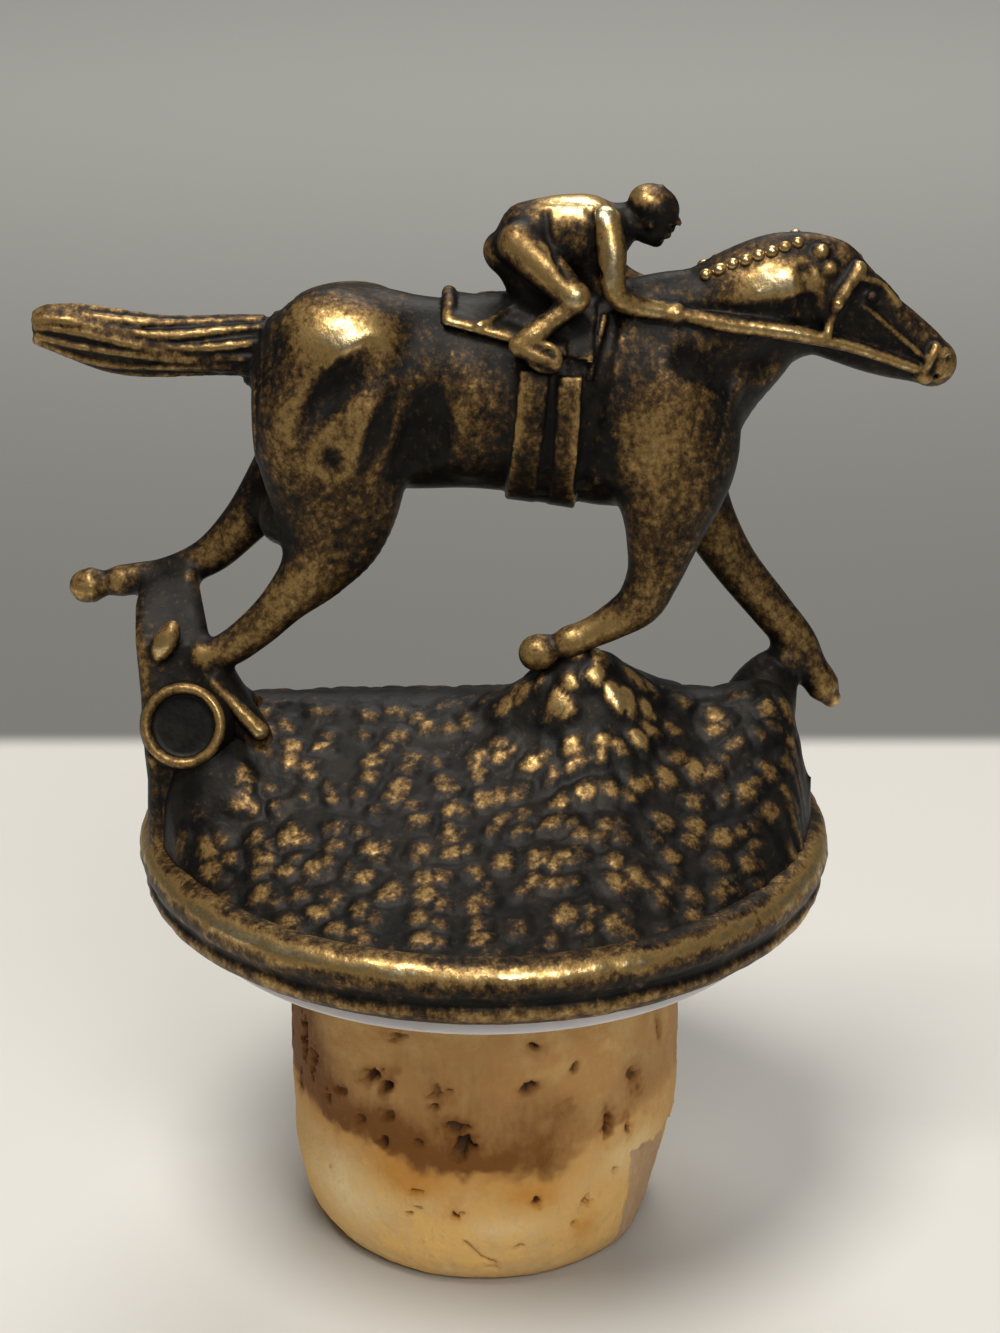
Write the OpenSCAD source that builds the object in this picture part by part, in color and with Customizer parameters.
// Figural bottle stopper: a cast galloping racehorse and rider on a pebbled turf mound,
// a thin plastic seat disc, and a natural cork shank.
// Millimetres. +Z is up the cork's axis, +X is towards the horse's head, -Y is the near side.
// The origin is the centre of the cork's flat foot.

/* [Cork] */
// Diameter of the parallel shank that fills the bottle's neck
cork_d = 20; // [17:0.1:24]
// Length of the cork
cork_len = 17.8; // [14:0.2:28]
// Length of the parallel stretch below the disc
shank_len = 10; // [7:0.5:11]
// Diameter at the foot, before its edge is rounded
foot_d = 18.6; // [16.5:0.1:20]
// Radius of the rounded foot edge
foot_round = 1.6; // [0.4:0.1:2]
// How far the broken-out chip reaches into the wall
chip_depth = 0.9; // [0.3:0.1:1.6]
// Height of the chip's upper edge above the foot
chip_top = 6.5; // [4:0.5:7.5]

/* [Seat disc] */
// Diameter of the plastic disc
disc_d = 30; // [26:0.2:31]
// Thickness of the plastic disc
disc_t = 1; // [0.5:0.1:2]

/* [Rim] */
// Diameter over the beaded rim
rim_d = 34.8; // [34:0.2:42]
// Height of the rim
rim_h = 3.8; // [3:0.1:5]
// Radius of the upper bead
bead_r = 1.1; // [0.8:0.05:1.2]
// Depth of the groove below the bead
groove_depth = 0.35; // [0.1:0.05:0.6]

/* [Turf mound] */
// Height of the ridge above the rim, at the middle
ridge_h = 6.4; // [5:0.2:9]
// Distance from the rim's edge in to the foot of the mound
mound_inset = 0.9; // [0.6:0.1:1.6]
// Height of the turf's pebbles
pebble_h = 0.55; // [0.1:0.05:0.8]
// Spacing of the turf's pebbles
pebble_gap = 1.7; // [1.45:0.05:2.4]

/* [Horse] */
// Length from the tail's tip to the muzzle
horse_len = 44; // [36:0.5:52]
// Width of the barrel
barrel_w = 7.6; // [6:0.2:10]
// Distance between the near legs and the far legs
leg_spread = 4.8; // [4:0.2:6]
// Depth of the tail's grooves
strand_depth = 0.22; // [0:0.02:0.35]
// Diameter of a mane plait
plait_d = 0.9; // [0.6:0.05:1.2]

/* [Tack] */
// How far straps and cloth stand out of the coat
strap_t = 0.3; // [0.15:0.05:0.5]
// Width of each girth band
girth_w = 1.05; // [0.6:0.05:1.3]
// Diameter of a rein
rein_d = 0.8; // [0.6:0.05:1]

/* [Rider] */
// Width of the rider's shoulders
shoulder_w = 4.2; // [3.4:0.1:5]
// Diameter of the rider's head
head_d = 2.5; // [2:0.1:3]
// Diameter of an arm
arm_d = 1.25; // [0.9:0.05:1.5]

/* [Roundel] */
// Outer diameter of the bare roundel
roundel_d = 4.2; // [3:0.1:4.6]
// Width of its raised rim
roundel_rim = 0.5; // [0.3:0.05:0.8]

/* [Hidden] */

// Heights up the stopper
disc_z = cork_len;
rim_z = disc_z + disc_t;
mound_z = rim_z + rim_h;
ridge_z = mound_z + ridge_h;

// The horse and rider are drawn at this length and scaled along with the horse
drawn_len = 44;
drawn_barrel_w = 7.6;
fig = horse_len / drawn_len;
girth_scale = barrel_w / drawn_barrel_w;
near = -leg_spread / 2;
far = leg_spread / 2;

mound_r = rim_d / 2 - mound_inset;
steps = 2;
ring_sides = 12;
seed = 7;

bronze = [0.30, 0.22, 0.11];
frosted = [0.90, 0.91, 0.92];
cork_tan = [0.80, 0.60, 0.38];

// Smooth curve through four neighbours, for points, sizes or both at once
function through(a, b, c, d, t) =
    b + 0.5 * t * (c - a + t * (2 * a - 5 * b + 4 * c - d + t * (3 * (b - c) + d - a)));

// Stations made denser along that curve
function denser(s) = [
    for (i = [0 : len(s) - 2], k = [0 : steps - 1])
        through(s[max(i - 1, 0)], s[i], s[i + 1], s[min(i + 2, len(s) - 1)], k / steps),
    s[len(s) - 1]
];

function unit(v) = v / max(norm(v), 1e-9);

// A station is [x, y, z, half depth in the side view, half width]; z counts from the ridge
function place(s) = [s.x * fig, s.y, ridge_z + s.z * fig];

// One ring of a limb: an ellipse across its path, with lobes for strands
function ring(s, ahead, behind, grow, lobes, sides) = let (
    run = unit(place(ahead) - place(behind)),
    up = unit(cross(run, [0, 1, 0])),
    deep = s[3] * fig + grow,
    wide = s[4] * fig + grow
) [
    for (k = [0 : sides - 1])
        let (
            a = 360 * k / sides,
            r = 1 - (lobes > 0 ? strand_depth * abs(sin(lobes * a / 2)) : 0)
        )
        place(s) + r * (deep * sin(a) * up + [0, wide * cos(a), 0])
];

// A closed skin over rings of equal count
// With studs, every other point stands alone: the triangles fold along the points between them
module skin(rings, studs = false) {
    n = len(rings[0]);
    last = len(rings) - 1;
    polyhedron(
        [for (r = rings) each r],
        [
            [for (k = [0 : n - 1]) k],
            for (i = [0 : last - 1], k = [0 : n - 1])
                let (
                    a = i * n + k,
                    b = (i + 1) * n + k,
                    c = (i + 1) * n + (k + 1) % n,
                    d = i * n + (k + 1) % n
                )
                each (studs && (i + k) % 2 == 1 ? [[a, b, c], [a, c, d]] : [[a, b, d], [d, b, c]]),
            [for (k = [n - 1 : -1 : 0]) last * n + k]
        ],
        convexity = 6
    );
}

module limb(stations, grow = 0, lobes = 0, sides = ring_sides) {
    s = denser(stations);
    last = len(s) - 1;
    skin([
        for (i = [0 : last])
            ring(s[i], s[min(i + 1, last)], s[max(i - 1, 0)], grow, lobes, sides)
    ]);
}

// A chain of round links between points [x, y, z, radius]
module cord_chain(points, sides = 8) {
    for (i = [0 : len(points) - 2])
        hull()
            for (p = [points[i], points[i + 1]])
                translate(place(p)) sphere(r = p[3] * fig, $fn = sides);
}

// Both sides of what is drawn on the near side
module both_sides() {
    children();
    mirror([0, 1, 0]) children();
}

module trunk(grow = 0) {
    w = girth_scale;
    limb([
        [-11.6, 0, 16.5, 0.9, 1.0 * w], [-11.3, 0, 16.5, 2.0, 1.9 * w], [-10.3, 0, 16.4, 3.5, 2.9 * w],
        [-8.3, 0, 16.2, 4.6, 3.6 * w], [-6.0, 0, 16.0, 4.9, 3.8 * w], [-3.5, 0, 15.7, 4.75, 3.5 * w],
        [-0.5, 0, 15.6, 4.6, 3.6 * w], [3.0, 0, 15.5, 4.9, 3.8 * w], [6.0, 0, 15.4, 5.3, 3.7 * w],
        [8.6, 0, 15.1, 5.2, 3.3 * w], [10.6, 0, 14.6, 4.2, 2.7 * w], [11.8, 0, 14.3, 2.5, 1.9 * w],
        [12.2, 0, 14.2, 1.2, 1.0 * w]
    ], grow);
}

module neck() {
    limb([
        [6.6, 0, 15.9, 4.2, 2.6], [8.8, 0, 17.4, 4.2, 2.4], [11.5, 0, 18.8, 3.5, 1.9],
        [13.0, 0, 19.9, 3.2, 1.6], [14.5, 0, 20.6, 3.0, 1.4], [15.5, 0, 21.0, 2.5, 1.2]
    ]);
}

module head() {
    limb([
        [14.5, 0, 21.6, 1.9, 0.9], [15.5, 0, 20.8, 2.75, 1.35], [16.8, 0, 19.9, 2.55, 1.4],
        [18.3, 0, 18.9, 2.1, 1.2], [19.8, 0, 18.0, 1.65, 1.0], [21.0, 0, 17.3, 1.4, 0.9],
        [21.9, 0, 16.7, 1.1, 0.85], [22.5, 0, 16.3, 0.5, 0.45]
    ]);
    both_sides()
        limb([[15.4, -0.5, 22.4, 0.5, 0.4], [15.9, -0.9, 23.1, 0.5, 0.35], [16.2, -1.0, 23.7, 0.15, 0.12]],
            sides = 6);
}

module tail() {
    limb([
        [-9.6, 0, 18.0, 1.5, 1.3], [-12.3, 0, 18.0, 1.5, 1.2], [-15.1, 0, 18.0, 1.55, 1.25],
        [-17.7, 0, 18.3, 1.65, 1.2], [-19.8, 0, 18.8, 1.35, 1.0], [-21.2, 0, 19.2, 0.85, 0.7],
        [-21.7, 0, 19.3, 0.3, 0.25]
    ], lobes = 9, sides = 18);
}

module near_foreleg() {
    limb([
        [8.8, near + 1.1, 16.5, 2.4, 1.5], [9.0, near + 0.5, 14.2, 2.9, 1.7], [8.9, near, 11.2, 2.5, 1.5],
        [8.6, near, 8.9, 1.75, 1.2],
        [8.2, near, 7.1, 1.3, 1.05], [7.6, near, 5.8, 1.15, 1.0], [6.3, near, 4.8, 0.9, 0.85],
        [4.8, near, 4.0, 0.75, 0.75], [3.9, near, 3.6, 0.85, 0.8], [3.4, near, 3.4, 0.7, 0.7],
        [2.6, near, 3.2, 0.95, 0.95], [1.9, near, 3.1, 0.6, 0.6]
    ]);
}

module far_foreleg() {
    limb([
        [9.0, far - 1.1, 15.5, 2.4, 1.5], [9.3, far - 0.4, 12.8, 2.6, 1.7], [10.6, far, 9.4, 1.6, 1.2],
        [12.2, far, 6.5, 1.2, 1.1],
        [14.5, far, 3.5, 1.05, 1.0], [15.9, far, 1.7, 0.95, 0.95], [16.6, far, 0.4, 0.8, 0.85],
        [17.2, far, -0.6, 0.85, 0.85], [17.6, far, -1.2, 0.5, 0.5]
    ]);
}

module near_hind_leg() {
    limb([
        [-7.2, near + 1.1, 18.5, 2.6, 1.7], [-7.4, near + 0.5, 16.5, 3.3, 1.9], [-7.3, near + 0.1, 13.6, 3.4, 1.9],
        [-7.1, near, 11.2, 3.2, 1.6], [-7.4, near, 9.1, 2.5, 1.35], [-8.2, near, 7.5, 1.75, 1.1],
        [-9.6, near, 5.9, 1.15, 0.95], [-11.2, near, 4.3, 0.95, 0.85], [-12.6, near, 3.3, 0.85, 0.8],
        [-13.6, near, 3.0, 0.7, 0.7]
    ]);
    limb([
        [-13.2, near, 3.1, 0.5, 0.6], [-14.4, near, 3.5, 0.9, 0.85], [-15.4, near, 3.0, 1.05, 0.9],
        [-16.0, near, 2.4, 0.6, 0.6]
    ]);
}

module far_hind_leg() {
    limb([
        [-7.2, far - 1.1, 18.0, 2.4, 1.7], [-7.8, far - 0.4, 15.0, 3.0, 1.9], [-8.8, far, 12.2, 2.3, 1.4],
        [-10.5, far, 10.0, 1.5, 1.2], [-12.0, far, 8.1, 1.15, 1.0], [-13.8, far, 6.4, 0.95, 0.9],
        [-16.1, far, 5.5, 0.75, 0.75], [-18.3, far, 5.1, 0.8, 0.75], [-19.1, far, 5.0, 0.7, 0.7],
        [-19.8, far, 4.9, 0.95, 0.9], [-20.5, far, 4.8, 0.5, 0.5]
    ]);
}

// Muscles that swell the coat on both sides: [x, y, z, half length, half width, half height, turn]
haunch = [-6.6, -2.3, 18.6, 2.6, 1.6, 1.8, -20];
buttock = [-9.2, -2.4, 14.9, 1.4, 1.6, 2.7, 12];
thigh = [-5.6, -2.8, 14.6, 1.6, 1.6, 3.1, 30];
ribs = [-0.6, -2.6, 15.4, 1.7, 1.4, 2.9, 0];
shoulder_blade = [8.3, -2.4, 15.0, 2.3, 1.7, 3.5, 20];

module muscles() {
    both_sides()
        for (m = [haunch, buttock, thigh, ribs, shoulder_blade])
            translate(place([m.x, m.y * girth_scale, m.z]))
                rotate([0, m[6], 0]) scale(fig * [m[3], m[4], m[5]]) sphere(r = 1, $fn = 8);
}

// A row of plaits that sit along the crest of the neck
module mane_plaits() {
    plaits = 8;
    for (i = [0 : plaits - 1])
        let (t = i / (plaits - 1))
        translate(place([10.3 + 4.6 * t, -0.5, 22.0 + 2.0 * t - 0.5 * t * t]))
            sphere(d = plait_d, $fn = 6);
}

// What lies on the coat between two stations: the trunk grown by the strap, cut to an outline
module on_coat(outline) {
    intersection() {
        trunk(strap_t);
        translate([0, barrel_w, ridge_z])
            rotate([90, 0, 0])
                linear_extrude(2 * barrel_w) scale(fig) polygon(outline);
    }
}

module saddle_cloth() {
    on_coat([[-1.9, 24], [-1.9, 20.0], [-1.5, 19.4], [1.0, 18.9], [4.6, 18.6], [5.4, 24]]);
}

module girth() {
    band = girth_w / fig;
    for (x = [1.5, 3.2])
        on_coat([[x, 19.5], [x, 0], [x + band, 0], [x + band, 19.5]]);
}

module bridle() {
    r = rein_d / 2 / fig;
    both_sides() {
        cord_chain([[9.0, -1.85, 20.1, r], [14.0, -1.8, 19.3, r], [17.2, -1.45, 18.5, 0.8 * r],
            [20.6, -0.95, 17.2, 0.7 * r]], 6);
        cord_chain([[17.3, -0.6, 22.0, 0.25], [17.0, -1.35, 21.0, 0.28], [16.3, -1.5, 18.9, 0.28]], 6);
        cord_chain([[21.2, -0.6, 18.2, 0.25], [20.8, -0.95, 17.3, 0.3], [20.4, -0.7, 16.3, 0.25]], 6);
    }
}

module rider_body() {
    w = shoulder_w / 4.2;
    limb([
        [0.9, 0, 22.7, 0.9, 1.2], [1.7, 0, 23.0, 1.7, 1.8], [3.2, 0, 23.4, 1.85, 1.7 * w],
        [4.8, 0, 23.5, 1.9, 1.9 * w], [6.0, 0, 23.7, 1.5, 2.0 * w], [6.9, 0, 24.0, 0.8, 1.0]
    ]);
    // The seat and knees close on to the saddle
    limb([[1.6, 0, 22.5, 1.2, 1.5], [2.6, 0, 21.2, 1.5, 2.0], [3.6, 0, 20.0, 1.5, 2.2]]);
    limb([[4.6, 0, 22.8, 1.0, 1.4], [5.3, 0, 21.4, 1.0, 1.3], [5.9, 0, 20.2, 0.9, 1.2]]);
}

module rider_limbs() {
    r = arm_d / 2 / fig;
    shoulder = -shoulder_w / 2 / fig;
    both_sides() {
        cord_chain([[1.8, -1.4, 23.4, 1.0], [4.2, -2.9, 21.1, 0.75]]);
        cord_chain([[4.2, -2.9, 21.1, 0.72], [3.0, -3.2, 19.9, 0.55], [1.8, -3.5, 18.9, 0.5],
            [3.4, -3.8, 17.7, 0.52]]);
        cord_chain([[5.8, shoulder + 0.4, 24.4, 1.1 * r], [6.1, -2.5, 21.3, r], [8.0, -2.0, 20.3, 0.85 * r],
            [9.0, -1.85, 20.1, 0.62]]);
    }
}

// A plain head under a peaked cap, bent forward
module rider_head() {
    r = head_d / 2;
    translate(place([7.9, 0, 24.4])) rotate([0, 25, 0]) {
        scale([1, 0.9, 1.12]) sphere(r = r, $fn = 12);
        translate([r * 0.95, 0, -r * 0.15]) sphere(r = r * 0.2, $fn = 8);
        translate([0, 0, r * 0.3]) scale([1.1, 1, 0.95]) sphere(r = r, $fn = 12);
        translate([r * 0.75, 0, r * 0.45]) scale([0.6, 0.75, 0.16]) sphere(r = r, $fn = 12);
    }
    cord_chain([[6.5, 0, 24.1, 0.8], [7.5, 0, 24.2, 0.8]]);
}

// Height of the ridge's line, with a rise under the forelegs
function hump(x, at, wide, high) = high * fig * exp(-pow((x / fig - at) / wide, 2));
function ridge_line(x) = ridge_h + hump(x, 6.2, 3.0, 1.2) + hump(x, 13.6, 1.8, 0.7)
    - 4.6 * exp(-pow((x - mound_r) / 0.9, 2));

// A lump of turf under the near foreleg's cannon and hoof
function lump(x, y) = 3.3 * fig * exp(-pow((x / fig - 4.0) / 3.0, 2) - pow((y - near) / 2.0, 2));

// A smooth apron that carries the roundel; it runs out before the rim
function apron(x, y, edge) = 3.0 * fig * exp(-pow((x / fig + 14.3) / 2.4, 2) - pow((y + 4.4) / 1.7, 2))
    * min(edge / 0.15, 1);

// A tent from the ridge to the rim: full height along y = 0, none at the circle
soft = 0.1;
function tent(t) = pow(1 - (sqrt(t * t + soft * soft) - soft) / (sqrt(1 + soft * soft) - soft), 1.15);
function turf_z(x, y) = let (y_rim = sqrt(max(mound_r * mound_r - x * x, 0.01)))
    mound_z - sink + (sink + ridge_line(x)) * tent(min(abs(y) / y_rim, 1)) + lump(x, y)
    + apron(x, y, max(1 - abs(y) / y_rim, 0));

// The turf's foot is sunk this far into the rim's bead
sink = 0.6;

// Staggered pebbles of uneven height on an uneven grid, bare along the ridge and round the post
cell = pebble_gap / sqrt(2);
along = 2 * floor(mound_r / cell);
across = 2 * floor(mound_r / cell / 2);
bare_end = -11.5;
points = (along + 1) * (2 * across + 1);
rough = rands(0.35, 1, points, seed);
shift_x = rands(-0.28, 0.28, points, seed + 1);
shift_y = rands(-0.28, 0.28, points, seed + 2);
function turf_id(i, j) = i * (2 * across + 1) + j + across;
function inner(i, j) = i > 1 && i < along - 1 && abs(j) > 1 && abs(j) < across - 1;
function turf_point(i, j) = let (
    end = mound_r * 0.995,
    x = -end + 2 * end * i / along + (inner(i, j) ? cell * shift_x[turf_id(i, j)] : 0),
    y_rim = sqrt(mound_r * mound_r - x * x),
    y = -y_rim * (j + (inner(i, j) ? shift_y[turf_id(i, j)] : 0)) / across,
    raised = inner(i, j) && (i + j) % 2 == 0 && x > bare_end
) [x, y, turf_z(x, y) + (raised ? pebble_h * rough[turf_id(i, j)] : 0)];

module turf_mound() {
    deep = rim_z + rim_h / 2;
    skin([
        for (i = [0 : along])
            let (first = turf_point(i, -across), final = turf_point(i, across))
            [
                for (j = [-across : across]) turf_point(i, j),
                [final.x, final.y, deep],
                [first.x, first.y, deep]
            ]
    ], studs = true);
}

// What carries the other hooves: a smooth post at the tail's end and a shoulder at the head's end
module hoof_rests() {
    limb([
        [-14.4, 0, -4.0, 2.4, 5.0], [-14.8, 0, -1.5, 2.3, 4.0], [-15.2, 0, 1.0, 2.2, 3.2],
        [-15.6, 0.2, 3.0, 2.1, 2.5], [-16.0, 0.8, 4.6, 2.0, 2.0], [-16.2, 1.2, 5.2, 1.5, 1.4]
    ], sides = 10);
    limb([
        [13.6, 1.0, -4.0, 1.8, 4.0], [13.9, 1.3, -1.0, 1.8, 2.8], [14.6, 1.8, 1.0, 1.4, 1.8],
        [15.2, 2.2, 2.0, 0.7, 1.0]
    ], sides = 8);
    // A short raised bar in the turf beside the roundel
    hull()
        for (p = [[-12.2, -2.4, 0.3], [-10.9, -4.6, 0.4]])
            translate([p.x * fig, p.y, turf_z(p.x * fig, p.y)]) sphere(r = p.z, $fn = 8);
}

// Low step, groove and round bead, turned about the cork's axis
module rim() {
    r = rim_d / 2;
    bead_z = rim_h - bead_r;
    translate([0, 0, rim_z]) rotate_extrude($fn = 56)
        polygon([
            [0, 0],
            [r - 1.6, 0],
            [r - 0.7, 0.3],
            [r - 0.3, 0.8],
            [r - 0.3, bead_z - bead_r - 0.2],
            [r - 0.3 - groove_depth, bead_z - bead_r + 0.05],
            for (a = [-45 : 45 : 90]) [r - bead_r + bead_r * cos(a), bead_z + bead_r * sin(a)],
            [0, rim_h]
        ]);
}

// A bare ring on the near side of the post
module roundel() {
    plug = roundel_d / 2;
    translate([-14.6 * fig, -4.3, ridge_z + 0.1])
        rotate([68, 0, -5])
            difference() {
                translate([0, 0, -plug]) cylinder(d = roundel_d, h = plug + roundel_rim, $fn = 24);
                cylinder(d = roundel_d - 2 * roundel_rim, h = plug, $fn = 24);
            }
}

module cast_top() {
    color(bronze) union() {
        trunk();
        neck();
        head();
        tail();
        near_foreleg();
        far_foreleg();
        near_hind_leg();
        far_hind_leg();
        muscles();
        mane_plaits();
        saddle_cloth();
        girth();
        bridle();
        rider_body();
        rider_limbs();
        rider_head();
        turf_mound();
        hoof_rests();
        rim();
        roundel();
    }
}

module seat_disc() {
    color(frosted) translate([0, 0, disc_z]) cylinder(d = disc_d, h = disc_t, $fn = 96);
}

module cork() {
    r = cork_d / 2;
    r_foot = foot_d / 2;
    taper_z = cork_len - shank_len;
    taper = atan((r - r_foot) / (taper_z - foot_round));
    color(cork_tan) difference() {
        rotate_extrude($fn = 96)
            polygon([
                [0, 0],
                for (a = [0 : 15 : 90])
                    [r_foot - foot_round + foot_round * sin(a), foot_round - foot_round * cos(a)],
                [r, taper_z],
                [r, cork_len],
                [0, cork_len]
            ]);
        // A flake broken out of the wall below the shank, at the head's end
        rotate([0, 0, -17])
            translate([r_foot - chip_depth, -r, foot_round])
                rotate([0, taper, 0])
                    translate([0, 0, -2 * foot_round])
                        cube([cork_d, cork_d, chip_top + foot_round]);
    }
}

cast_top();
seat_disc();
cork();
